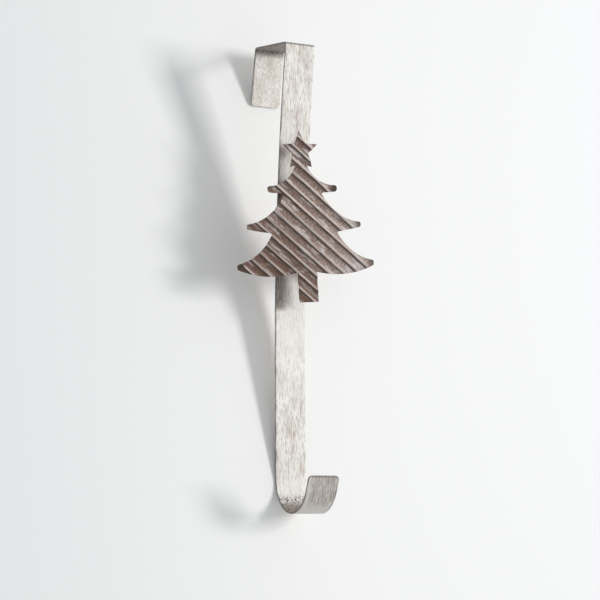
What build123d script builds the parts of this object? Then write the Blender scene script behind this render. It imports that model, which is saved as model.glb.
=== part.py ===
from build123d import *
import os
from math import ceil, cos, hypot, radians, sin

# Wreath hanger for the top of a door, in millimetres.
# The origin is the middle of the bridge's underside, where the hanger sits on the door.
# +Z is up, and the front, with the plaque, faces -Y.

# Bent strip: flap, bridge, shank, hook and lip are one length of flat steel
STRIP_WIDTH = 22.0
STRIP_THICKNESS = 1.2
DOOR_GAP = 48.0
TOP_BEND_RADIUS = 1.2
FLAP_LENGTH = 40.7
FLAP_SPLAY = 1.9
SHANK_TOP_RUN = 14.0
SHANK_BOW_LENGTH = 190.0
SHANK_BOW_ANGLE = 9.0
SHANK_LOWER_RUN = 87.0
HOOK_RADIUS = 23.3
HOOK_TURN = 157.8
LIP_RUN = 9.5
FLAP_CORNER_RADIUS = 2.4
LIP_CORNER_RADIUS = 2.6

# Tree plaque: one fluted sheet, cut to a tree with a star on top.
# It is drawn with its origin on the tree's middle line, level with the lowest tips.
SHEET_THICKNESS = 0.6
FLUTE_PITCH = 7.3
FLUTE_SLOPE = 41.25
FLUTE_SHIFT = 4.45
FLUTE_EDGE_ANGLE = 10.0
RIDGE_ANGLE = 52.0
RIDGE_FLANK = 0.5
RIDGE_ROOT_RADIUS = 0.2
CREST_RADIUS = 0.2
NECK_HALF_WIDTH = 4.2
NECK_TOP = 69.4
NECK_OVERLAP = 1.0
STAR_RADIUS = 13.6
STAR_INNER_RADIUS = 6.2
TRUNK_HALF_WIDTH = 7.1
TRUNK_LENGTH = 20.3
NOTCH_RADIUS = 1.0

# Tiers of boughs from the top down, each measured on from where the last one ends.
# Reach and drop run out along the upper edge, and sag is how hollow that edge is.
# Nose is the height of the blunt tip, and round is the radius of its corners.
# Tuck and fall run back in along the lower edge, and belly is how full that edge is.
# The last tier's lower edge runs back in as far as the trunk.
TIERS = [
    {"reach": 21.8, "drop": 13.5, "sag": 4.2, "nose": 4.3, "round": 2.0,
     "tuck": 12.1, "fall": 0.7, "belly": 0.1},
    {"reach": 28.7, "drop": 20.4, "sag": 4.8, "nose": 3.3, "round": 1.5,
     "tuck": 18.4, "fall": 3.0, "belly": 0.1},
    {"reach": 26.8, "drop": 20.1, "sag": 4.0, "nose": 3.3, "round": 1.6,
     "tuck": None, "fall": 3.1, "belly": 3.7},
]

# Bracket: a small bent strap that carries the plaque in front of the shank.
# Its place is a length down the shank from the top bend.
BRACKET_PLACE = 129.5
BRACKET_WIDTH = 14.0
BRACKET_THICKNESS = 1.2
BRACKET_FOOT = 10.0
BRACKET_TOP = 18.0
BRACKET_BEND_RADIUS = 1.2
SEAT_GAP = 0.05

# Where the plaque sits on the bracket: the height of the bracket's middle on the tree,
# the plaque's distance from the shank's face, its sideways shift and its turn to the left
BRACKET_ON_TREE = 22.0
PLAQUE_STANDOFF = 13.0
PLAQUE_SHIFT = 3.9
PLAQUE_TURN = 5.3


def unit(angle):
    """Unit vector in the drawing plane, at an angle in degrees."""
    return Vector(cos(radians(angle)), sin(radians(angle)))


def strap_face(start, heading, moves, thickness):
    """Face of a bent strap seen on edge, walked along its middle line.

    A move is (length,) for a straight run, or (middle radius, turn) for a bend.
    """
    half = thickness / 2
    point = Vector(*start)
    side = unit(heading + 90)
    lines = [Line(point - side * half, point + side * half)]
    for move in moves:
        if len(move) == 1:
            step = unit(heading) * move[0]
            for offset in (half, -half):
                edge = point + side * offset
                lines.append(Line(edge, edge + step))
            point = point + step
            continue
        radius, turn = move
        inward = radius if turn > 0 else -radius
        centre = point + side * inward
        for offset in (half, -half):
            arm = side * (offset - inward)
            arc = [centre + arm.rotate(Axis.Z, turn * share) for share in (0, 0.5, 1)]
            lines.append(ThreePointArc(*arc))
        heading += turn
        side = unit(heading + 90)
        point = centre - side * inward
    lines.append(Line(point - side * half, point + side * half))
    return make_face(lines)


def strip_arm(heading, moves, corner_radius):
    """One side of the strip, from the middle of the bridge to its rounded cut end."""
    face = strap_face((0, STRIP_THICKNESS / 2), heading, moves, STRIP_THICKNESS)
    arm = extrude(Plane.YZ * face, STRIP_WIDTH / 2, both=True)
    end_edges = [
        edge for edge in arm.edges()
        if abs(edge.length - STRIP_THICKNESS) < 1e-4 and abs(edge.center().Y) > DOOR_GAP / 4
    ]
    return fillet(end_edges, corner_radius)


def hanger_strip():
    """Flap, bridge, bowed shank, hook and lip as one bent strip."""
    middle = STRIP_THICKNESS / 2
    bridge_run = DOOR_GAP / 2 - TOP_BEND_RADIUS
    front = [
        (bridge_run,),
        (TOP_BEND_RADIUS + middle, 90),
        (SHANK_TOP_RUN,),
        (SHANK_BOW_LENGTH / radians(SHANK_BOW_ANGLE), -SHANK_BOW_ANGLE),
        (SHANK_LOWER_RUN,),
        (HOOK_RADIUS + middle, -HOOK_TURN),
        (LIP_RUN,),
    ]
    back = [
        (bridge_run,),
        (TOP_BEND_RADIUS + middle, FLAP_SPLAY - 90),
        (FLAP_LENGTH - TOP_BEND_RADIUS - STRIP_THICKNESS,),
    ]
    return strip_arm(180, front, LIP_CORNER_RADIUS) + strip_arm(0, back, FLAP_CORNER_RADIUS)


def shank_seat():
    """Bracket's seat on the shank's front face: its point, the way down, and the way out."""
    bow_radius = SHANK_BOW_LENGTH / radians(SHANK_BOW_ANGLE)
    bowed = min(max(BRACKET_PLACE - SHANK_TOP_RUN, 0), SHANK_BOW_LENGTH)
    beyond = max(BRACKET_PLACE - SHANK_TOP_RUN - SHANK_BOW_LENGTH, 0)
    lean = bowed / bow_radius
    down = Vector(0, -sin(lean), -cos(lean))
    out = Vector(0, -cos(lean), sin(lean))
    point = Vector(0, -DOOR_GAP / 2 - STRIP_THICKNESS / 2, -TOP_BEND_RADIUS)
    point += Vector(0, 0, -min(BRACKET_PLACE, SHANK_TOP_RUN))
    point += Vector(0, cos(lean) - 1, -sin(lean)) * bow_radius + down * beyond
    return point + out * (STRIP_THICKNESS / 2), down, out


def star_corners(middle):
    """Corners of the star's right half, from its top tip down to its lower tip."""
    corners = []
    for number in range(5):
        radius = STAR_INNER_RADIUS if number % 2 else STAR_RADIUS
        corners.append(middle + unit(90 - 36 * number) * radius)
    return corners


def corners_at(face, points):
    """The face's vertices that lie at the given points."""
    return [
        vertex for vertex in face.vertices()
        if min((Vector(vertex.X, vertex.Y) - point).length for point in points) < 1e-4
    ]


def tree_outline():
    """Face of the whole tree: star, neck, three tiers with flared edges, and trunk."""
    star_middle = Vector(0, NECK_TOP - NECK_OVERLAP + STAR_RADIUS * cos(radians(36)))
    star = star_corners(star_middle)
    root = Vector(NECK_HALF_WIDTH, NECK_TOP)
    lines = [Line(a, b) for a, b in zip(star, star[1:] + [root])]
    noses = []
    notches = []
    for tier in TIERS:
        tip = root + Vector(tier["reach"], -tier["drop"])
        chin = tip - Vector(0, tier["nose"])
        tuck = chin.X - TRUNK_HALF_WIDTH if tier["tuck"] is None else tier["tuck"]
        below = chin - Vector(tuck, tier["fall"])
        lines += [SagittaArc(root, tip, -tier["sag"]), Line(tip, chin)]
        lines.append(SagittaArc(chin, below, tier["belly"]))
        noses.append((tip, chin, tier["round"]))
        notches.append(below)
        root = below
    foot = root - Vector(0, TRUNK_LENGTH)
    base = Vector(0, foot.Y)
    lines += [Line(root, foot), Line(foot, base), Line(base, star[0])]
    half = make_face(lines)
    for tip, chin, radius in noses:
        half = fillet(corners_at(half, [tip, chin]), radius)
    half = fillet(corners_at(half, notches[:-1]), NOTCH_RADIUS)
    return half + mirror(half, Plane.YZ)


def fluted_sheet(reach):
    """Sheet rolled into broad hollow flutes with narrow ridges between, sloping down to the right.

    The bottom of a flute is at no depth, measured to the middle of the sheet's thickness.
    One flute's bottom runs past the tree's origin at the flute shift.
    """
    root_radius = RIDGE_ROOT_RADIUS + SHEET_THICKNESS / 2
    crest_radius = CREST_RADIUS + SHEET_THICKNESS / 2
    edge = radians(FLUTE_EDGE_ANGLE)
    steep = radians(RIDGE_ANGLE)
    half_ridge = (
        root_radius * (sin(steep) - sin(edge)) + RIDGE_FLANK * cos(steep) + crest_radius * sin(steep)
    )
    flute_radius = (FLUTE_PITCH / 2 - half_ridge) / sin(edge)
    half_flute = (flute_radius, FLUTE_EDGE_ANGLE)
    root = (root_radius, RIDGE_ANGLE - FLUTE_EDGE_ANGLE)
    ridge = [root, (RIDGE_FLANK,), (crest_radius, -2 * RIDGE_ANGLE), (RIDGE_FLANK,), root]
    count = ceil((reach + abs(FLUTE_SHIFT)) / FLUTE_PITCH)
    moves = [half_flute, *ridge, half_flute] * (2 * count)
    section = strap_face((FLUTE_SHIFT - count * FLUTE_PITCH, 0), 0, moves, SHEET_THICKNESS)
    across = unit(90 - FLUTE_SLOPE)
    along = across.cross(Vector(0, 0, 1))
    return extrude(Plane((0, 0, 0), x_dir=across, z_dir=along) * section, reach, both=True)


def tree_plaque():
    """Fluted sheet cut along the tree's outline and set in front of the shank."""
    outline = tree_outline()
    box = outline.bounding_box()
    reach = hypot(box.max.X, max(box.max.Y, -box.min.Y))
    tree = fluted_sheet(reach) & extrude(outline, FLUTE_PITCH, both=True)
    seat, down, out = shank_seat()
    across = Vector(1, 0, 0)
    turn = radians(PLAQUE_TURN)
    tree_up = down * -cos(turn) - across * sin(turn)
    tree_across = across * cos(turn) - down * sin(turn)
    origin = seat + out * PLAQUE_STANDOFF + across * PLAQUE_SHIFT - tree_up * BRACKET_ON_TREE
    return Plane(origin, x_dir=tree_across, z_dir=out) * tree


def plaque_bracket():
    """Hat-shaped strap: two feet on the shank, two legs, and a flat top behind the plaque."""
    half = BRACKET_THICKNESS / 2
    bend = BRACKET_BEND_RADIUS + half
    length = 2 * BRACKET_FOOT + BRACKET_TOP + 4 * bend
    hollow = radians(SHANK_BOW_ANGLE) / SHANK_BOW_LENGTH * (length / 2) ** 2 / 2
    foot_height = hollow + SEAT_GAP + half
    top_height = PLAQUE_STANDOFF - SHEET_THICKNESS / 2 - SEAT_GAP - half
    leg = top_height - foot_height - 2 * bend
    moves = [
        (BRACKET_FOOT,), (bend, 90), (leg,), (bend, -90), (BRACKET_TOP,),
        (bend, -90), (leg,), (bend, 90), (BRACKET_FOOT,),
    ]
    face = strap_face((-length / 2, foot_height), 0, moves, BRACKET_THICKNESS)
    seat, down, out = shank_seat()
    plane = Plane(seat, x_dir=down, z_dir=down.cross(out))
    return extrude(plane * face, BRACKET_WIDTH / 2, both=True)


os.makedirs("parts", exist_ok=True)
export_step(hanger_strip(), "parts/hanger_strip.step")
export_step(tree_plaque(), "parts/tree_plaque.step")
export_step(plaque_bracket(), "parts/plaque_bracket.step")
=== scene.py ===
from math import atan2, cos, inf, radians, sin

import bmesh
import bpy
from bpy.props import FloatProperty, FloatVectorProperty, PointerProperty
from mathutils import Matrix, Vector


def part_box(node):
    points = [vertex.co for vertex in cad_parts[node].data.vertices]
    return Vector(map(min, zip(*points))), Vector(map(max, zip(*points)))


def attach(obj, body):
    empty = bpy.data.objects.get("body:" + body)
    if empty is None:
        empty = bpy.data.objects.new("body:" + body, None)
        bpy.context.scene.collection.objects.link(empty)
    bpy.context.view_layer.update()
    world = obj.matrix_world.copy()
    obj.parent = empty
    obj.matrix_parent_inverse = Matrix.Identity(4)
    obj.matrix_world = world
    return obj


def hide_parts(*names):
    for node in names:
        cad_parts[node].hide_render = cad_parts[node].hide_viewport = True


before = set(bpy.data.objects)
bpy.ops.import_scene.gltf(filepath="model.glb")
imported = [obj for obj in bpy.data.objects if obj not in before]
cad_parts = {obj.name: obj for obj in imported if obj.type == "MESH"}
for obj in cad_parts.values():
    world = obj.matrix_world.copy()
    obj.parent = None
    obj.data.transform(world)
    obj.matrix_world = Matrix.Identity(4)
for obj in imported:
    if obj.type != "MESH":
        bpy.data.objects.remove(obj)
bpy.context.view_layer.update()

bl_info = {
    "name": "Wreath hanger",
    "version": (1, 0, 0),
    "blender": (4, 5, 0),
    "location": "View3D > Sidebar > Wreath hanger",
    "description": "Dresses the solids of an over-the-door wreath hanger with a tree plaque",
    "category": "Object",
}

MM = 0.001

# The view of the reference picture, as found from the hanger's own corners in it. The lens and
# the sensor's width are in millimetres, as the camera takes them.
VIEW_AZIMUTH = radians(-26.0)
VIEW_ELEVATION = radians(1.12)
VIEW_ROLL = radians(3.72)
VIEW_TARGET = Vector((12.25, -25.2, -172.78)) * MM
VIEW_DISTANCE = 1176.3 * MM
VIEW_LENS = 103.3
SENSOR_WIDTH = 36.0
CLIP_NEAR = 50 * MM
CLIP_FAR = 20000 * MM

# The flap's lower edge, which the backdrop touches, is this near to the strip's furthest back
FLAP_END_DEPTH = 1 * MM
# Gap between the strip and the backdrop
WALL_GAP = 0.2 * MM
# Where the backdrop's middle is sideways, and how far its lighter colour, a painted pool of light,
# reaches from there
WALL_LIT_MIDDLE = (30 * MM, 360 * MM)
# The even light grows from left to right until its direction is this much sideways
FILL_SIDE = 0.9

# Corners of a solid's mesh this close together are one
MERGE_DISTANCE = 0.001 * MM
# Faces that turn by less than this from one to the next are one flat face
FLAT_ANGLE = radians(0.3)
# Edges of the strip and the bracket that turn by more than this are rims, and are eased
RIM_ANGLE = radians(50)
# Edges that turn by more than this stay sharp, in the strip and in the fluted sheet
STRIP_SHARP_ANGLE = radians(20)
SHEET_SHARP_ANGLE = radians(42)
# A face is on the strip's flank if its normal has more than this sideways
FLANK_SHARE = 0.7
# A face is on the sheet's front if its normal has more than this forward
FRONT_SHARE = 0.5
# A face is on the sheet's cut rim if its normal has less than this out of the sheet
RIM_SHARE = 0.12
# Place of the sheared edge in a piece's list of materials
EDGE_MATERIAL = 1

# The corners of a flank lie this near to the strip's side
FLANK_DEPTH = 0.01 * MM
# A flank's outline turns by more than this only at the corners of the cut ends
END_CORNER_ANGLE = radians(60)
# The corners on a ridge's crest lie this near to the foremost one
CREST_DEPTH = 0.05 * MM
# Crests that are further apart than this belong to two ridges
RIDGE_GAP = 1 * MM

# The underside's pattern is read from this much further across the strip's own map
UNDERSIDE_SHIFT = 60 * MM
# The bracket's pattern and that of the sheet's back are read from this far away
FAR_SHIFT = 1000 * MM

# Each bough's tip is higher than the one below it by more than this
BOUGH_RISE = 15 * MM
# How dark each tip is: right side from the lowest bough up, then the left side
TIP_SOOT = (0.6, 0.7, 1.0, 0.9, 0.5, 0.6)

# Where the strip's finish changes, each from where a mask is 0 to where it is 1. Heights and
# depths are in the hanger's frame, and widths are counted from the strip's left edge. A wander
# is how far a pattern moves such a place to and fro.
TOP_WEAR_HEIGHT = (-95 * MM, -45 * MM)
LOW_WEAR_HEIGHT = (-205 * MM, -245 * MM)
LOW_WEAR_END_HEIGHT = (-300 * MM, -280 * MM)
BRIDGE_HEIGHT = (-6 * MM, -1 * MM)
BRIDGE_TOP_HEIGHT = (-0.7 * MM, 0.4 * MM)
FLAP_DEPTH = (20 * MM, 22 * MM)
LEE_WIDTH = (12 * MM, 0.5 * MM)
LEE_WANDER = 16 * MM
BELOW_TREE_HEIGHT = (-150 * MM, -160 * MM)
BELOW_TREE_END_HEIGHT = (-183 * MM, -177 * MM)
LIP_HEIGHT = (-262 * MM, -270 * MM)
LIP_DEPTH = (-72 * MM, -86 * MM)
LIP_STREAK_WIDTH = (2 * MM, 5 * MM)
LIP_STREAK_WANDER = 8 * MM
LIP_STREAK_HEIGHT = (-306.5 * MM, -300 * MM)
LIP_END_HEIGHT = (-284.6 * MM, -283.4 * MM)
LEFT_RIM_WIDTH = (1.3 * MM, 0.2 * MM)
RIGHT_RIM_WIDTH = (20.6 * MM, 21.7 * MM)
BOWL_HEIGHT = (-299 * MM, -309.5 * MM)
BOWL_DEPTH = (-45 * MM, -55 * MM)
HOOK_WANDER = 6 * MM
# Two bands of painted shadow of the plaque, with dirt, on the shank: the height of a band's middle,
# and how far it reaches from there
BOUGH_SHADE_AND_DIRT = (-102 * MM, 12 * MM)
NECK_SHADE_AND_DIRT = (-74 * MM, 10 * MM)

# Where the tree's finish changes, from where a mask is 0 to where it is 1: how far down and to
# the left of the hanger's origin, how far to the right of it, two heights, and the distance
# from a bough's tip
LOW_LEFT_REACH = (115 * MM, 172 * MM)
# Across this reach the tree's right side is painted paler: painted light from the lamp on the
# right.
LIT_RIGHT_REACH = (6 * MM, 46 * MM)
STAR_HEIGHT = (-100 * MM, -78 * MM)
TRUNK_HEIGHT = (-151 * MM, -158 * MM)
SOOT_DISTANCE = (7 * MM, 2.5 * MM)
SOOT_WANDER = 8 * MM
# How far the painted lines wander from the ridges, as a share of a flute
RIDGE_WANDER = 0.08

# Traces of pale coat on the sheared edges
COAT_TRACE = (0.42, 0.40, 0.37)
# How deep the finishes are in relief
WASH_RELIEF = 0.10 * MM
EDGE_RELIEF = 0.06 * MM
TREE_RELIEF = 0.12 * MM
# Specular level of the strip and the sheared edges, and of the tree's duller coat
STRIP_SHINE = 0.35
TREE_SHINE = 0.12


class StripSettings(bpy.types.PropertyGroup):
    """Edges and whitewash of the bent strip and of the bracket."""

    edge_round: FloatProperty(
        name="Edge rounding", description="How far the strip's cut edges are eased",
        default=0.15 * MM, unit="LENGTH", precision=5,
    )
    wash: FloatVectorProperty(
        name="Whitewash", description="The strip's pale top coat",
        default=(0.965, 0.94, 0.905), subtype="COLOR",
    )
    streak: FloatVectorProperty(
        name="Streak", description="Grey that shows where the brush left the coat thin",
        default=(0.49, 0.445, 0.39), subtype="COLOR",
    )
    # Also the colour of painted shade in the hook's bottom and in the plaque's lee.
    stain_and_shade: FloatVectorProperty(
        name="Stain", description="Pinkish brown of the undercoat",
        default=(0.50, 0.40, 0.35), subtype="COLOR",
    )
    # Also the colour of painted shade under the bridge, in the hook's bottom and in the plaque's
    # lee.
    speck_and_shade: FloatVectorProperty(
        name="Speck", description="Dark rust of worn spots",
        default=(0.105, 0.075, 0.058), subtype="COLOR",
    )
    lip_coat: FloatVectorProperty(
        name="Lip coat", description="Taupe grey of the lip's outer side",
        default=(0.41, 0.37, 0.34), subtype="COLOR",
    )
    # Also the colour of painted shade along the strip's left edge.
    cut_edge_and_shade: FloatVectorProperty(
        name="Cut edge", description="Dark steel of the strip's sheared edges",
        default=(0.17, 0.16, 0.15), subtype="COLOR",
    )


class TreeSettings(bpy.types.PropertyGroup):
    """Finish of the fluted tree plaque."""

    coat: FloatVectorProperty(
        name="Coat", description="Taupe of the sheet",
        default=(0.310, 0.216, 0.175), subtype="COLOR",
    )
    umber: FloatVectorProperty(
        name="Umber", description="Dark brown that the coat turns to at the lower left",
        default=(0.125, 0.074, 0.055), subtype="COLOR",
    )
    rust: FloatVectorProperty(
        name="Rust", description="Reddish brown of the rusted patches",
        default=(0.19, 0.105, 0.072), subtype="COLOR",
    )
    # Also the colour of the painted highlight along each ridge and of the painted light on the
    # tree's right side.
    crest: FloatVectorProperty(
        name="Crest", description="Cream wash rubbed off along each ridge",
        default=(0.76, 0.67, 0.625), subtype="COLOR",
    )
    wash: FloatVectorProperty(
        name="Dry-brushed wash", description="Pale lavender grey brushed along the flutes",
        default=(0.66, 0.60, 0.61), subtype="COLOR",
    )
    # Also the colour of the painted shade across each flute and before each ridge.
    grime_and_shade: FloatVectorProperty(
        name="Grime", description="Dark line in the root of each ridge and on the cut rim",
        default=(0.07, 0.05, 0.04), subtype="COLOR",
    )


class StageSettings(bpy.types.PropertyGroup):
    """Backdrop and light."""

    wall_lean: FloatProperty(
        name="Backdrop lean", description="How far the backdrop's top leans away from the hanger",
        default=radians(17.5), subtype="ANGLE",
    )
    wall_size: FloatProperty(
        name="Backdrop size", description="Width and height of the backdrop",
        default=3.0, unit="LENGTH",
    )
    wall_color: FloatVectorProperty(
        name="Backdrop colour", description="Pale, slightly cool grey",
        default=(0.90, 0.902, 0.915), subtype="COLOR",
    )
    # A painted pool of light: the backdrop is paler behind the hanger.
    wall_lit_middle: FloatVectorProperty(
        name="Backdrop middle", description="Colour of the backdrop behind the hanger",
        default=(0.965, 0.965, 0.965), subtype="COLOR",
    )
    fill: FloatProperty(
        name="Fill light", description="Strength of the even light from all round",
        default=0.582, min=0.0,
    )
    fill_color: FloatVectorProperty(
        name="Fill colour", description="Slightly cool white of the even light",
        default=(0.972, 0.99, 1.0), subtype="COLOR",
    )
    fill_swing: FloatProperty(
        name="Fill swing", description="Share by which the right is lighter and the left darker",
        default=0.38, min=0.0, max=1.0,
    )
    key: FloatProperty(
        name="Key light", description="Power of the lamp on the right",
        default=21.5, min=0.0, unit="POWER",
    )
    key_color: FloatVectorProperty(
        name="Key colour", description="Slightly warm white of the lamp",
        default=(1.0, 0.99, 0.975), subtype="COLOR",
    )
    key_swing: FloatProperty(
        name="Key swing", description="How far the lamp stands to the side of the backdrop's front",
        default=radians(47), subtype="ANGLE",
    )
    key_rise: FloatProperty(
        name="Key rise", description="How far the lamp's side way tilts up",
        default=radians(3), subtype="ANGLE",
    )
    key_width: FloatProperty(
        name="Key width", description="Width of the lamp",
        default=0.36, unit="LENGTH",
    )
    key_height: FloatProperty(
        name="Key height", description="Height of the lamp",
        default=0.75, unit="LENGTH",
    )
    key_distance: FloatProperty(
        name="Key distance", description="How far the lamp stands from the hanger",
        default=2.0, unit="LENGTH",
    )


class HangerSettings(bpy.types.PropertyGroup):
    """Everything about the hanger that a user would change."""

    strip: PointerProperty(type=StripSettings)
    tree: PointerProperty(type=TreeSettings)
    stage: PointerProperty(type=StageSettings)


class Wire:
    """A shader socket that takes part in plain arithmetic."""

    def __init__(self, tree, socket):
        self.tree = tree
        self.socket = socket

    def node(self, kind, settings=None, sockets=None, output=0):
        """Adds any node: its settings are made first, then its sockets get values or links."""
        made = self.tree.nodes.new(kind)
        for name, value in (settings or {}).items():
            setattr(made, name, value)
        for name, value in (sockets or {}).items():
            if isinstance(value, Wire):
                self.tree.links.new(value.socket, made.inputs[name])
            else:
                made.inputs[name].default_value = value
        return Wire(self.tree, made.outputs[output])

    def math(self, operation, *values):
        """Adds one Math node."""
        return self.node("ShaderNodeMath", {"operation": operation}, dict(enumerate(values)))

    def __add__(self, other):
        return self.math("ADD", self, other)

    def __radd__(self, other):
        return self.math("ADD", other, self)

    def __sub__(self, other):
        return self.math("SUBTRACT", self, other)

    def __rsub__(self, other):
        return self.math("SUBTRACT", other, self)

    def __mul__(self, other):
        return self.math("MULTIPLY", self, other)

    def __rmul__(self, other):
        return self.math("MULTIPLY", other, self)

    def __truediv__(self, other):
        return self.math("DIVIDE", self, other)

    def step(self, low, high):
        """0 below low, 1 above high, and smooth between; low may be the larger."""
        return self.node(
            "ShaderNodeMapRange", {"interpolation_type": "SMOOTHSTEP"},
            {"Value": self, "From Min": low, "From Max": high},
        )

    def band(self, middle, half_width):
        """1 at middle, fading to 0 at half_width on both sides."""
        apart = self - middle
        return apart.math("ABSOLUTE", apart).step(half_width, 0.0)

    def either(self, other):
        """The larger of two masks."""
        return self.math("MAXIMUM", self, other)

    def wandering(self, pattern, reach):
        """This measure shifted by a pattern, up to half the reach each way, for an uneven edge."""
        return self + reach * (pattern - 0.5)

    def part(self, name):
        """X, Y or Z of a vector."""
        return self.node("ShaderNodeSeparateXYZ", None, {0: self}, name)

    def distance(self, point):
        """How far a vector is from a point."""
        return self.node(
            "ShaderNodeVectorMath", {"operation": "DISTANCE"}, {0: self, 1: point}, "Value",
        )

    def stretched(self, x, y, z=1.0):
        """A vector scaled along each axis, for patterns that run one way."""
        return self.node("ShaderNodeMapping", None, {"Vector": self, "Scale": (x, y, z)})

    def moved(self, x, y, z=0.0):
        """A vector shifted, so that a second pattern differs from the first."""
        return self.node("ShaderNodeMapping", None, {"Vector": self, "Location": (x, y, z)})

    def noise(self, detail=3.0, roughness=0.6, scale=1.0):
        """Noise read at this vector."""
        return self.node(
            "ShaderNodeTexNoise", None,
            {"Vector": self, "Scale": scale, "Detail": detail, "Roughness": roughness},
        )

    def painted(self, color, mask):
        """This colour with another laid over it where the mask is 1."""
        return self.node(
            "ShaderNodeMix", {"data_type": "RGBA"}, {0: mask, 6: self, 7: opaque(color)}, 2,
        )


def opaque(color):
    """A colour for a shader's socket: a wire stays as it is, and a plain one gets an alpha of 1."""
    return color if isinstance(color, Wire) else (*color, 1.0)


def flat_color(wire, color):
    """The first coat of a stack of painted colours, in the same material as a wire."""
    coat = opaque(color)
    return wire.node("ShaderNodeMix", {"data_type": "RGBA"}, {0: 0.0, 6: coat, 7: coat}, 2)


def new_material(name):
    """An empty material, and its output as the start of its wires."""
    material = bpy.data.materials.new(name)
    material.use_nodes = True
    material.node_tree.nodes.clear()
    output = material.node_tree.nodes.new("ShaderNodeOutputMaterial")
    return material, Wire(material.node_tree, output.inputs["Surface"])


def close_material(end, shader):
    """Links the finished shader to the material's output."""
    end.tree.links.new(shader.socket, end.socket)


def coated_metal(end, color, roughness, height, depth, shine):
    """Painted metal: one Principled shader with a bump of some depth."""
    normal = end.node(
        "ShaderNodeBump", None, {"Strength": 1.0, "Distance": depth, "Height": height},
    )
    return end.node(
        "ShaderNodeBsdfPrincipled", None,
        {"Base Color": color, "Roughness": roughness, "Specular IOR Level": shine,
         "Normal": normal},
    )


class StripMarks:
    """What the strip's finish is painted by: places on the strip and patterns along it."""

    def __init__(self, end):
        uv = end.node("ShaderNodeUVMap", {"uv_map": "strip"})
        place = end.node("ShaderNodeTexCoord", None, None, "Object")
        across = uv.part("Y")
        self.height = place.part("Z")
        self.depth = place.part("Y")
        self.under = across.step(UNDERSIDE_SHIFT / 2 - MM, UNDERSIDE_SHIFT / 2 + MM)
        self.top = 1 - self.under
        self.width = across - self.under * UNDERSIDE_SHIFT

        # Marks per metre along the strip and across it, so that most of them run along it
        self.clouds = uv.stretched(60, 120).noise()
        self.brush = uv.stretched(130, 1000).noise()
        self.scratches = uv.moved(3.1, 1.7).stretched(230, 2100).noise(2.0)
        self.blots = uv.moved(5.3, 2.2).stretched(420, 620).noise(4.0, 0.66)
        self.specks = uv.moved(0.7, 0.4).stretched(620, 720).noise(3.0, 0.75)
        self.smudge = uv.moved(0.2, 0.9).stretched(45, 130).noise()
        self.threads = uv.moved(2.3, 0.5).stretched(110, 1200).noise(4.0, 0.68)
        self.fine = uv.stretched(2600, 4200).noise(2.0)

        # Where the coat is thinner: near the top, above the hook and on the underside
        near_top = self.top * self.height.step(*TOP_WEAR_HEIGHT)
        low_shank = self.height.step(*LOW_WEAR_HEIGHT) * self.height.step(*LOW_WEAR_END_HEIGHT)
        self.worn = near_top.either(self.top * low_shank).either(self.under)
        self.bridge = self.under * self.height.step(*BRIDGE_HEIGHT)
        self.flap = self.under * self.depth.step(*FLAP_DEPTH) * (1 - self.bridge)
        self.lip = self.under * self.height.step(*LIP_HEIGHT) * self.depth.step(*LIP_DEPTH)


def brushed_coat(color, settings, marks):
    """Strokes, undercoat and specks in the whitewash; the flap is mottled more than streaked."""
    worn = marks.worn
    flap = marks.flap
    brushed = 1 - 0.65 * flap
    strokes = marks.brush.step(0.50, 0.66) * (0.36 + 0.42 * worn) * brushed
    scratched = marks.scratches.step(0.52, 0.66) * (0.42 + 0.48 * worn) * brushed
    soaked = marks.smudge.step(0.48, 0.66) * (0.24 + 0.44 * marks.brush.step(0.42, 0.58))
    speckled = 0.06 + 0.42 * worn * marks.smudge.step(0.46, 0.60)

    color = color.painted(settings.streak, marks.clouds.step(0.38, 0.68) * (0.14 + 0.16 * worn))
    color = color.painted(settings.streak, strokes)
    color = color.painted(settings.streak, scratched)
    color = color.painted(settings.stain_and_shade, soaked * (0.3 + 0.75 * worn) * (1 - 0.45 * flap))
    color = color.painted(settings.stain_and_shade, flap * marks.blots.step(0.44, 0.62) * 0.36)
    color = color.painted(settings.streak, flap * marks.specks.step(0.48, 0.62) * 0.45)
    return color.painted(settings.speck_and_shade, marks.specks.step(0.62, 0.72) * speckled)


def lee_shade_and_dirt(color, settings, marks):
    """Painted shadow of the plaque, with staining, in its lee on the left half of the shank."""
    height = marks.height
    lee = marks.top * marks.width.wandering(marks.brush, LEE_WANDER).step(*LEE_WIDTH)
    below = height.step(*BELOW_TREE_HEIGHT) * height.step(*BELOW_TREE_END_HEIGHT)
    shadow_and_dirt = height.band(*BOUGH_SHADE_AND_DIRT).either(below * 0.75).either(height.band(*NECK_SHADE_AND_DIRT) * 0.5)
    gritty = (lee * shadow_and_dirt * (0.4 + marks.blots)).step(0.02, 0.60)
    strokes = 0.15 + 0.5 * marks.scratches + 0.5 * marks.brush.step(0.42, 0.56)
    # Painted shadow of the plaque with dirt in it: brown first, then dark gritty streaks.
    color = color.painted(settings.stain_and_shade, lee * shadow_and_dirt * 0.7)
    return color.painted(settings.speck_and_shade, gritty * strokes)


def bridge_rust_and_shade(color, settings, marks):
    """Dark rust on the bridge: on its upper face and bends, and, with painted shade, on its
    underside.
    """
    color = color.painted(settings.speck_and_shade, marks.top * marks.height.step(*BRIDGE_TOP_HEIGHT) * 0.72)
    # Rust and painted shade over the whole underside of the bridge.
    return color.painted(settings.speck_and_shade, marks.bridge * (0.62 + 0.3 * marks.blots.step(0.4, 0.6)))


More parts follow.
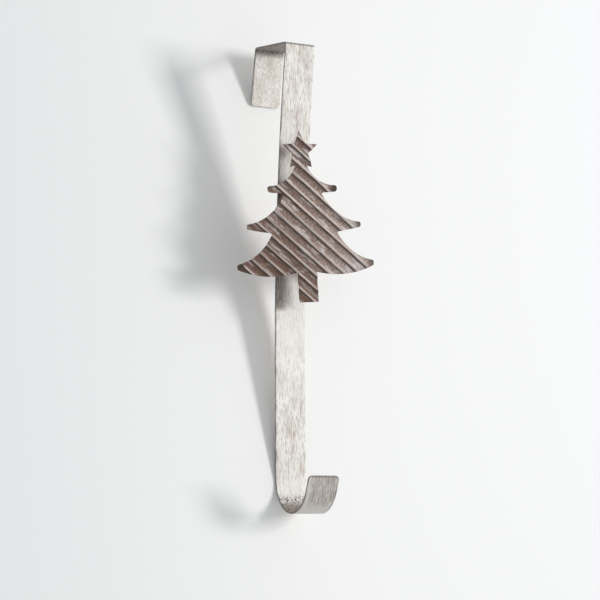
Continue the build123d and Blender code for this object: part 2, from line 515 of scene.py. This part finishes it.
def lip_finish(color, settings, marks):
    """The lip's outer side: plain grey on its left, streaked brown grey on the rest."""
    plain = flat_color(color, settings.lip_coat).painted(settings.wash, 0.42)
    worn = flat_color(color, settings.lip_coat)
    worn = worn.painted(settings.wash, marks.threads.step(0.46, 0.64) * 0.50)
    worn = worn.painted(settings.wash, (1 - marks.scratches).step(0.50, 0.60) * 0.24)
    worn = worn.painted(settings.speck_and_shade, (1 - marks.threads).step(0.50, 0.64) * 0.36)
    worn = worn.painted(settings.speck_and_shade, marks.scratches.step(0.51, 0.60) * 0.20)
    worn = worn.painted(settings.stain_and_shade, marks.blots.step(0.46, 0.62) * 0.34)

    right = marks.width.wandering(marks.clouds, LIP_STREAK_WANDER).step(*LIP_STREAK_WIDTH)
    above = marks.height.wandering(marks.blots, HOOK_WANDER).step(*LIP_STREAK_HEIGHT)
    return color.painted(plain, marks.lip).painted(worn, marks.lip * right * above)


def hook_rust_and_shade(color, settings, marks):
    """Rust spots, and painted shade that darkens the bottom of the hook where the lip keeps the
    light off.
    """
    low = marks.height.wandering(marks.blots, HOOK_WANDER).step(*BOWL_HEIGHT)
    bowl = marks.top * low * marks.depth.step(*BOWL_DEPTH)
    spots = (0.55 * marks.specks + 0.45 * marks.blots).step(0.50, 0.54) * bowl.step(0.02, 0.40)
    # Painted shade: brown, then dark, growing towards the bowl's bottom.
    color = color.painted(settings.stain_and_shade, bowl * 0.22 + bowl.step(0.6, 1.0) * 0.4)
    # Rust spots, with dense dark painted shade in the deepest part.
    return color.painted(settings.speck_and_shade, (spots * 0.95).either(bowl.step(0.55, 1.1) * 0.7))


def worn_rims_and_shade(color, settings, marks):
    """Bare steel with painted shade along the strip's left edge, the side away from the lamp, and
    bare steel along the lip's right edge and its end.
    """
    lip_end = marks.height.step(*LIP_END_HEIGHT)
    lip_rim = marks.lip * lip_end.either(marks.width.step(*RIGHT_RIM_WIDTH))
    # Worn steel colour, and on the strip's left edge painted shade as well.
    rubbed = marks.width.step(*LEFT_RIM_WIDTH).either(lip_rim)
    return color.painted(settings.cut_edge_and_shade, rubbed * (0.2 + 0.6 * marks.brush.step(0.38, 0.60)))


def whitewashed(settings):
    """Whitewash brushed along the strip: streaks, stains, worn rims and rust specks, with painted
    shade under the bridge, in the hook, in the plaque's lee and along the left edge.
    """
    material, end = new_material("whitewash")
    marks = StripMarks(end)
    color = flat_color(end, settings.wash)
    for coat in (brushed_coat, lee_shade_and_dirt, bridge_rust_and_shade, lip_finish, hook_rust_and_shade, worn_rims_and_shade):
        color = coat(color, settings, marks)
    pits = marks.specks.step(0.60, 0.70)
    relief = marks.brush * 0.5 + marks.scratches * 0.3 + marks.fine * 0.2 - pits * 0.4
    roughness = 0.50 + 0.22 * marks.clouds - 0.08 * marks.brush.step(0.5, 0.8)
    close_material(end, coated_metal(end, color, roughness, relief, WASH_RELIEF, STRIP_SHINE))
    return material


def sheared_edge(name, color, rust):
    """Dark sheared edge with a fine grain, blots of rust and traces of the coat."""
    material, end = new_material(name)
    place = end.node("ShaderNodeTexCoord", None, None, "Object")
    grain = place.stretched(1500, 1500, 700).noise()
    blots = place.stretched(160, 160, 90).noise()
    coat = flat_color(end, color)
    coat = coat.painted(rust, blots.step(0.45, 0.72) * 0.6)
    coat = coat.painted(COAT_TRACE, grain.step(0.56, 0.76) * 0.45)
    roughness = 0.45 + 0.25 * blots
    close_material(end, coated_metal(end, coat, roughness, grain, EDGE_RELIEF, STRIP_SHINE))
    return material


class SheetMarks:
    """What the tree's finish is painted by: places on the sheet and patterns on its flutes."""

    def __init__(self, end, first, pitch):
        uv = end.node("ShaderNodeUVMap", {"uv_map": "flutes"})
        self.place = end.node("ShaderNodeTexCoord", None, None, "Object")
        self.clouds = self.place.noise(scale=70.0)

        # Marks per metre along the flutes and across them
        self.hatch = uv.stretched(1500, 330).noise(3.0, 0.7)
        self.brush = uv.stretched(90, 900).noise(3.0, 0.65)
        self.long_brush = uv.moved(1.3, 0.6).stretched(60, 330).noise()
        self.dabs = uv.moved(0.4, 2.1).stretched(190, 600).noise(4.0, 0.7)
        self.patches = uv.moved(7.4, 3.3).stretched(110, 240).noise()
        self.flecks = uv.stretched(900, 900).noise(3.0, 0.7)

        # 0 on a ridge, growing across the flute to 1 on the next ridge up to the right
        turn = ((uv.part("Y") - first) / pitch).wandering(self.clouds, RIDGE_WANDER)
        self.cycle = turn.math("FRACT", turn)

        sideways = self.place.part("X")
        height = self.place.part("Z")
        self.right = sideways.step(*LIT_RIGHT_REACH)
        self.low_left = (-1.0 * sideways - height).step(*LOW_LEFT_REACH)
        self.ends = height.step(*STAR_HEIGHT).either(height.step(*TRUNK_HEIGHT))
        mottled = self.low_left * 0.16 + self.clouds * 0.5 + self.patches * 0.5
        self.rusted = mottled.step(0.46, 0.66)


def rusty_coat(color, settings, marks):
    """Brown at the lower left, on the star and on the trunk, rusty patches, and painted light that
    makes the right side paler.
    """
    color = color.painted(settings.umber, marks.low_left * 0.92)
    # Painted light: the right side, which the lamp lights, is paler.
    color = color.painted(settings.crest, marks.right * 0.47)
    color = color.painted(settings.umber, marks.ends * 0.55)
    return color.painted(settings.rust, marks.rusted * (0.40 + 0.32 * marks.low_left))


def brushed_and_shaded_flutes(color, settings, marks):
    """Painted shade that darkens each flute towards the next ridge, fine hatching across the
    flutes, pale wash brushed along them, and dark flecks.
    """
    hatched = marks.hatch.step(0.50, 0.64) * (0.34 - 0.24 * marks.low_left)
    pale = 0.92 - 0.46 * marks.low_left - 0.16 * marks.ends
    streaks = 0.35 + 0.65 * marks.brush.step(0.42, 0.54)
    dabbed = marks.dabs.step(0.54, 0.61) * marks.long_brush.step(0.48, 0.60) * pale
    dirty = marks.patches.step(0.52, 0.66) * marks.brush.step(0.48, 0.60) * 0.45

    # Painted shade: each flute darkens from the ridge below towards the next ridge up.
    color = color.painted(settings.grime_and_shade, marks.cycle.step(0.10, 0.78) * 0.30)
    color = color.painted(settings.grime_and_shade, (1 - marks.hatch).step(0.48, 0.62) * 0.42)
    color = color.painted(settings.wash, hatched)
    color = color.painted(settings.wash, marks.long_brush.step(0.55, 0.61) * streaks * pale)
    color = color.painted(settings.wash, dabbed)
    color = color.painted(settings.grime_and_shade, marks.flecks.step(0.56, 0.66) * 0.65)
    return color.painted(settings.grime_and_shade, dirty)


def ridge_shade_and_highlight(color, settings, marks):
    """Painted shade with soiling before each ridge, and a painted highlight with rubbed cream wash
    along it.
    """
    cycle = marks.cycle
    smear = 0.55 + 0.45 * marks.brush.step(0.35, 0.60)
    # The ridge's lit side: painted highlight with rubbed cream wash, weaker on the right and at the
    # lower left.
    crest = cycle.step(0.060, 0.015).either(cycle.step(0.89, 0.92))
    rubbed = crest * smear * (1.10 - 0.30 * marks.low_left - 0.35 * marks.right)
    # Painted shade on the flute before each ridge, then a narrower line of painted shade and
    # soiling at the ridge's foot.
    color = color.painted(settings.grime_and_shade, cycle.step(0.50, 0.74) * cycle.step(0.90, 0.86) * 0.36)
    color = color.painted(settings.grime_and_shade, cycle.step(0.73, 0.78) * cycle.step(0.89, 0.86) * smear)
    color = color.painted(settings.crest, rubbed)
    # Painted light on the flute just after each ridge, fading away.
    return color.painted(settings.crest, cycle.step(0.28, -0.02) * 0.36)


def sooty_tips(color, settings, marks, tips):
    """Dark tips of the boughs, given as pairs of a place and how dark it is."""
    for tip, soot in tips:
        apart = marks.place.distance(tip).wandering(marks.dabs, SOOT_WANDER)
        color = color.painted(settings.grime_and_shade, apart.step(*SOOT_DISTANCE) * soot)
    return color


def washed_rust(settings, first, pitch, tips):
    """The tree's finish: taupe and brown, dry-brushed along the flutes, with painted shade before
    each ridge and a painted highlight on it.
    """
    material, end = new_material("washed_rust")
    marks = SheetMarks(end, first, pitch)
    color = flat_color(end, settings.coat)
    for coat in (rusty_coat, brushed_and_shaded_flutes, ridge_shade_and_highlight):
        color = coat(color, settings, marks)
    color = sooty_tips(color, settings, marks, tips)
    relief = marks.hatch * 0.6 + marks.brush * 0.5 + marks.dabs * 0.3
    roughness = 0.52 + 0.2 * marks.clouds + 0.1 * marks.rusted
    close_material(end, coated_metal(end, color, roughness, relief, TREE_RELIEF, TREE_SHINE))
    return material


def backdrop_finish(settings):
    """Pale backdrop that isn't seen from behind, so that the hanger's back can be looked at;
    painted light makes it paler behind the hanger.
    """
    material, end = new_material("backdrop")
    behind = end.node("ShaderNodeNewGeometry", None, None, "Backfacing")
    clear = end.node("ShaderNodeBsdfTransparent")
    place = end.node("ShaderNodeTexCoord", None, None, "Object")
    # Painted pool of light: paler in a band behind the hanger.
    middle = place.part("X").band(*WALL_LIT_MIDDLE)
    color = flat_color(end, settings.wall_color).painted(settings.wall_lit_middle, middle)
    pale = end.node("ShaderNodeBsdfDiffuse", None, {"Color": color, "Roughness": 0.0})
    close_material(end, end.node("ShaderNodeMixShader", None, {0: behind, 1: pale, 2: clear}))
    return material


def merged_copy(node):
    """The solid's own mesh with its loose triangles joined and flat faces made whole."""
    shape = bmesh.new()
    shape.from_mesh(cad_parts[node].data)
    for layer in list(shape.loops.layers.uv):
        shape.loops.layers.uv.remove(layer)
    bmesh.ops.remove_doubles(shape, verts=shape.verts, dist=MERGE_DISTANCE)
    bmesh.ops.dissolve_limit(
        shape, angle_limit=FLAT_ANGLE, verts=shape.verts, edges=shape.edges, delimit=set(),
    )
    shape.normal_update()
    return shape


def ease_rims(shape, width):
    """Rounds the cut rims a little, as shearing and tumbling leave them."""
    rims = [
        edge for edge in shape.edges
        if len(edge.link_faces) == 2 and abs(edge.calc_face_angle_signed(0.0)) > RIM_ANGLE
    ]
    bmesh.ops.bevel(
        shape, geom=rims, offset=width, offset_type="OFFSET", segments=2, profile=0.5,
        affect="EDGES", clamp_overlap=True, material=-1,
    )


def add_piece(name, shape, materials, sharp_angle):
    """Makes the finished object, puts it on the hanger's one body, and returns it."""
    mesh = bpy.data.meshes.new(name)
    shape.to_mesh(mesh)
    shape.free()
    mesh.polygons.foreach_set("use_smooth", [True] * len(mesh.polygons))
    mesh.set_sharp_from_angle(angle=sharp_angle)
    for material in materials:
        mesh.materials.append(material)
    piece = bpy.data.objects.new(name, mesh)
    bpy.context.scene.collection.objects.link(piece)
    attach(piece, "root")
    return piece


def profile_point(place):
    """A place on the strip as seen from its side: depth and height."""
    return Vector((place.y, place.z))


def side_paths(shape):
    """The strip's long profile lines, top side and underside, each from the flap to the lip."""
    side = max(vert.co.x for vert in shape.verts) - FLANK_DEPTH
    flank = max(
        (face for face in shape.faces if min(vert.co.x for vert in face.verts) > side),
        key=lambda face: face.calc_area(),
    )
    points = [profile_point(vert.co) for vert in flank.verts]
    count = len(points)
    corners = []
    for number, point in enumerate(points):
        before = point - points[number - 1]
        after = points[(number + 1) % count] - point
        if before.angle(after) > END_CORNER_ANGLE:
            corners.append(number)
    paths = []
    for first, last in zip(corners, corners[1:] + corners[:1]):
        length = (last - first) % count
        if length > 2:
            paths.append([points[(first + step) % count] for step in range(length + 1)])
    for path in paths:
        if path[0].y < path[-1].y:
            path.reverse()
    paths.sort(key=lambda path: max(point.y for point in path))
    under, top = paths
    return top, under


def nearest_on_path(path, point):
    """(distance from a path, length along it) of a point; the first and last runs go on."""
    best = (inf, 0.0)
    walked = 0.0
    final = len(path) - 2
    for number, (start, end) in enumerate(zip(path, path[1:])):
        run = end - start
        share = (point - start).dot(run) / run.length ** 2
        least = -inf if number == 0 else 0.0
        most = inf if number == final else 1.0
        share = min(max(share, least), most)
        gap = (start + run * share - point).length
        if gap < best[0]:
            best = (gap, walked + share * run.length)
        walked += run.length
    return best


def nearer_path(paths, point):
    """0 if a point is nearer to the first of two paths, and 1 if it is nearer to the second."""
    gaps = [nearest_on_path(path, point)[0] for path in paths]
    return 0 if gaps[0] <= gaps[1] else 1


def map_strip(shape, paths):
    """Writes the map that the whitewash follows: length along the strip, then across it."""
    layer = shape.loops.layers.uv.new("strip")
    left = min(vert.co.x for vert in shape.verts)
    for face in shape.faces:
        side = nearer_path(paths, profile_point(face.calc_center_median()))
        for loop in face.loops:
            corner = loop.vert.co
            along = nearest_on_path(paths[side], profile_point(corner))[1]
            loop[layer].uv = (along, corner.x - left + side * UNDERSIDE_SHIFT)


def mark_sheared_faces(shape, paths):
    """Gives the strip's flanks and cut ends the sheared edge's material.

    A face of a cut end spans the thickness: it touches both the top side and the underside.
    """
    for face in shape.faces:
        sides = {nearer_path(paths, profile_point(vert.co)) for vert in face.verts}
        if abs(face.normal.x) > FLANK_SHARE or len(sides) == 2:
            face.material_index = EDGE_MATERIAL


def map_bracket(shape):
    """Writes a map of the strip's kind on the bracket, and marks its flanks as sheared."""
    layer = shape.loops.layers.uv.new("strip")
    left = min(vert.co.x for vert in shape.verts)
    for face in shape.faces:
        for loop in face.loops:
            corner = loop.vert.co
            loop[layer].uv = (corner.z + corner.y, corner.x - left + FAR_SHIFT)
        if abs(face.normal.x) > FLANK_SHARE:
            face.material_index = EDGE_MATERIAL


def plaque_axes(shape):
    """The tree's own directions, read from its solid: along the flutes, across them, and out."""
    front = [face for face in shape.faces if face.normal.y < -FRONT_SHARE]
    out = Vector()
    for face in front:
        out += face.normal * face.calc_area()
    out.normalize()
    side = Vector((1, 0, 0)) - out * out.x
    side.normalize()
    up = out.cross(side) * -1

    # A flute's faces lean only across the flute, so that is the way in which the normals spread
    side_spread = up_spread = joint_spread = 0.0
    for face in front:
        area = face.calc_area()
        side_lean = face.normal.dot(side)
        up_lean = face.normal.dot(up)
        side_spread += area * side_lean * side_lean
        up_spread += area * up_lean * up_lean
        joint_spread += area * side_lean * up_lean
    slope = 0.5 * atan2(2 * joint_spread, side_spread - up_spread)
    across = side * cos(slope) + up * sin(slope)
    if across.z < 0:
        across.negate()
    along = across.cross(out)
    return along, across, out


def ridge_rows(shape, across, out):
    """(place of the first ridge across the sheet, distance from one ridge to the next)."""
    heights = [(vert.co.dot(out), vert.co.dot(across)) for vert in shape.verts]
    crest = max(height for height, _ in heights)
    places = sorted(place for height, place in heights if height > crest - CREST_DEPTH)
    rows = [[places[0]]]
    for place in places[1:]:
        if place - rows[-1][-1] > RIDGE_GAP:
            rows.append([])
        rows[-1].append(place)
    middles = [sum(row) / len(row) for row in rows]
    return middles[0], (middles[-1] - middles[0]) / (len(middles) - 1)


def map_flutes(shape, along, across, out):
    """Writes the map that the tree's finish follows, and marks the cut rim as sheared."""
    layer = shape.loops.layers.uv.new("flutes")
    for face in shape.faces:
        facing = face.normal.dot(out)
        shift = FAR_SHIFT if facing < 0 else 0.0
        for loop in face.loops:
            corner = loop.vert.co
            loop[layer].uv = (corner.dot(along) + shift, corner.dot(across))
        if abs(facing) < RIM_SHARE:
            face.material_index = EDGE_MATERIAL


def bough_tips(shape):
    """The ends of the boughs, from the lowest up, first those on the right and then the left."""
    middle = sum(vert.co.x for vert in shape.verts) / len(shape.verts)
    tips = []
    for side in (1, -1):
        points = [vert.co.copy() for vert in shape.verts]
        for _ in range(3):
            tip = max(points, key=lambda point: side * (point.x - middle))
            points = [point for point in points if point.z > tip.z + BOUGH_RISE]
            tips.append(tip)
    return tips


def wall_ways(lean):
    """The backdrop's own directions when it leans: across it, up along it, and out of it."""
    across = Vector((1, 0, 0))
    up = Vector((0, sin(lean), cos(lean)))
    normal = Vector((0, -cos(lean), sin(lean)))
    return across, up, normal


class HANGER_OT_strip(bpy.types.Operator):
    """Dresses the bent strip: eased edges, dark sheared edges and brushed whitewash"""

    bl_idname = "hanger.strip"
    bl_label = "Bent strip"

    def execute(self, context):
        settings = context.scene.hanger.strip
        shape = merged_copy("hanger_strip")
        paths = side_paths(shape)
        ease_rims(shape, settings.edge_round)
        map_strip(shape, paths)
        mark_sheared_faces(shape, paths)
        finish = whitewashed(settings)
        edge = sheared_edge("strip_edge", settings.cut_edge_and_shade, settings.stain_and_shade)
        piece = add_piece("bent_strip", shape, [finish, edge], STRIP_SHARP_ANGLE)
        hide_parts("hanger_strip")
        return {"FINISHED"}


class HANGER_OT_tree(bpy.types.Operator):
    """Dresses the fluted tree plaque: dark cut rim, and washed rust along the flutes"""

    bl_idname = "hanger.tree"
    bl_label = "Tree plaque"

    def execute(self, context):
        settings = context.scene.hanger.tree
        shape = merged_copy("tree_plaque")
        along, across, out = plaque_axes(shape)
        first, pitch = ridge_rows(shape, across, out)
        map_flutes(shape, along, across, out)
        finish = washed_rust(settings, first, pitch, zip(bough_tips(shape), TIP_SOOT))
        rim = sheared_edge("tree_rim", settings.grime_and_shade, settings.rust)
        piece = add_piece("fluted_tree", shape, [finish, rim], SHEET_SHARP_ANGLE)
        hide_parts("tree_plaque")
        return {"FINISHED"}


class HANGER_OT_bracket(bpy.types.Operator):
    """Dresses the small bent bracket behind the plaque with the strip's own finish"""

    bl_idname = "hanger.bracket"
    bl_label = "Bracket"

    def execute(self, context):
        settings = context.scene.hanger.strip
        shape = merged_copy("plaque_bracket")
        ease_rims(shape, settings.edge_round)
        map_bracket(shape)
        strip_materials = bpy.data.objects["bent_strip"].data.materials
        piece = add_piece("bracket_strap", shape, strip_materials, STRIP_SHARP_ANGLE)
        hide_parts("plaque_bracket")
        return {"FINISHED"}


class HANGER_OT_stage(bpy.types.Operator):
    """Sets the pale backdrop, the light and the camera"""

    bl_idname = "hanger.stage"
    bl_label = "Stage"

    def execute(self, context):
        settings = context.scene.hanger.stage
        self.backdrop(context.scene, settings)
        self.key_lamp(context.scene, settings)
        self.even_light(context.scene, settings)
        self.camera(context.scene)
        context.scene.view_settings.view_transform = "Standard"
        return {"FINISHED"}

    def backdrop(self, scene, settings):
        """A large leaning plane that touches the flap's lower edge and the hook's back."""
        across, up, normal = wall_ways(settings.wall_lean)
        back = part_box("hanger_strip")[1].y
        points = [vert.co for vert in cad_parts["hanger_strip"].data.vertices]
        flap_end = [point for point in points if point.y > back - FLAP_END_DEPTH]
        touch = min(flap_end, key=lambda point: point.z)
        lowest = min((point - touch).dot(normal) for point in points)
        middle = touch + normal * (lowest - WALL_GAP)
        shape = bmesh.new()
        bmesh.ops.create_grid(shape, x_segments=1, y_segments=1, size=settings.wall_size / 2)
        turn = Matrix((across, up, normal)).transposed().to_4x4()
        bmesh.ops.transform(shape, matrix=Matrix.Translation(middle) @ turn, verts=shape.verts)
        mesh = bpy.data.meshes.new("backdrop")
        shape.to_mesh(mesh)
        shape.free()
        mesh.materials.append(backdrop_finish(settings))
        wall = bpy.data.objects.new("backdrop", mesh)
        scene.collection.objects.link(wall)

    def key_lamp(self, scene, settings):
        """One soft lamp that stands to the right of the backdrop's front."""
        across, up, normal = wall_ways(settings.wall_lean)
        sideways = across * cos(settings.key_rise) + up * sin(settings.key_rise)
        away = normal * cos(settings.key_swing) + sideways * sin(settings.key_swing)
        lamp = bpy.data.lights.new("key", "AREA")
        lamp.shape = "RECTANGLE"
        lamp.size = settings.key_width
        lamp.size_y = settings.key_height
        lamp.energy = settings.key
        lamp.color = settings.key_color
        key = bpy.data.objects.new("key", lamp)
        key.location = VIEW_TARGET + away * settings.key_distance
        key.rotation_euler = (-away).to_track_quat("-Z", "Y").to_euler()
        scene.collection.objects.link(key)

    def even_light(self, scene, settings):
        """Light from all round, and the pale colour that the camera and reflections see there."""
        world = bpy.data.worlds.new("even_light")
        world.use_nodes = True
        world.node_tree.nodes.clear()
        output = world.node_tree.nodes.new("ShaderNodeOutputWorld")
        end = Wire(world.node_tree, output.inputs["Surface"])
        seen = end.node("ShaderNodeLightPath", None, None, "Is Camera Ray")
        mirrored = end.node("ShaderNodeLightPath", None, None, "Is Glossy Ray")
        passed = end.node("ShaderNodeLightPath", None, None, "Is Transmission Ray")
        shown = seen.either(mirrored).either(passed)
        way = end.node("ShaderNodeTexCoord", None, None, "Generated")
        swing = settings.fill_swing
        rightward = way.part("X").step(-FILL_SIDE, FILL_SIDE)
        level = settings.fill * (1 - swing + 2 * swing * rightward)
        fill = end.node(
            "ShaderNodeBackground", None,
            {"Color": opaque(settings.fill_color), "Strength": level},
        )
        pale = end.node(
            "ShaderNodeBackground", None,
            {"Color": opaque(settings.wall_color), "Strength": 1.0},
        )
        close_material(end, end.node("ShaderNodeMixShader", None, {0: shown, 1: fill, 2: pale}))
        scene.world = world

    def camera(self, scene):
        """The camera of the reference picture, turned about its own axis as it was there."""
        forward = Vector((
            -sin(VIEW_AZIMUTH) * cos(VIEW_ELEVATION),
            cos(VIEW_AZIMUTH) * cos(VIEW_ELEVATION),
            -sin(VIEW_ELEVATION),
        ))
        level_right = Vector((cos(VIEW_AZIMUTH), sin(VIEW_AZIMUTH), 0))
        level_up = level_right.cross(forward)
        right = level_right * cos(VIEW_ROLL) + level_up * sin(VIEW_ROLL)
        up = level_up * cos(VIEW_ROLL) - level_right * sin(VIEW_ROLL)
        lens = bpy.data.cameras.new("camera")
        lens.lens = VIEW_LENS
        lens.sensor_width = SENSOR_WIDTH
        lens.clip_start = CLIP_NEAR
        lens.clip_end = CLIP_FAR
        camera = bpy.data.objects.new("camera", lens)
        place = Matrix.Translation(VIEW_TARGET - forward * VIEW_DISTANCE)
        camera.matrix_world = place @ Matrix((right, up, -forward)).transposed().to_4x4()
        scene.collection.objects.link(camera)
        scene.camera = camera


class HANGER_PT_pieces(bpy.types.Panel):
    """Lists the hanger's pieces and their sizes and colours"""

    bl_idname = "HANGER_PT_pieces"
    bl_label = "Wreath hanger"
    bl_space_type = "VIEW_3D"
    bl_region_type = "UI"
    bl_category = "Wreath hanger"

    def draw(self, context):
        settings = context.scene.hanger
        for operator in PIECE_OPERATORS:
            self.layout.operator(operator.bl_idname)
        for group in (settings.strip, settings.tree, settings.stage):
            box = self.layout.box()
            for name in group.__annotations__:
                box.prop(group, name)


PIECE_OPERATORS = (HANGER_OT_strip, HANGER_OT_tree, HANGER_OT_bracket, HANGER_OT_stage)
CLASSES = (
    StripSettings, TreeSettings, StageSettings, HangerSettings, *PIECE_OPERATORS, HANGER_PT_pieces,
)


def register():
    """Adds the settings, the operators and the panel."""
    for cls in CLASSES:
        bpy.utils.register_class(cls)
    bpy.types.Scene.hanger = PointerProperty(type=HangerSettings)


def unregister():
    """Removes what register added."""
    del bpy.types.Scene.hanger
    for cls in reversed(CLASSES):
        bpy.utils.unregister_class(cls)


def main():
    """Makes every piece and the stage."""
    register()
    bpy.ops.hanger.strip()
    bpy.ops.hanger.tree()
    bpy.ops.hanger.bracket()
    bpy.ops.hanger.stage()


if __name__ == "__main__":
    main()
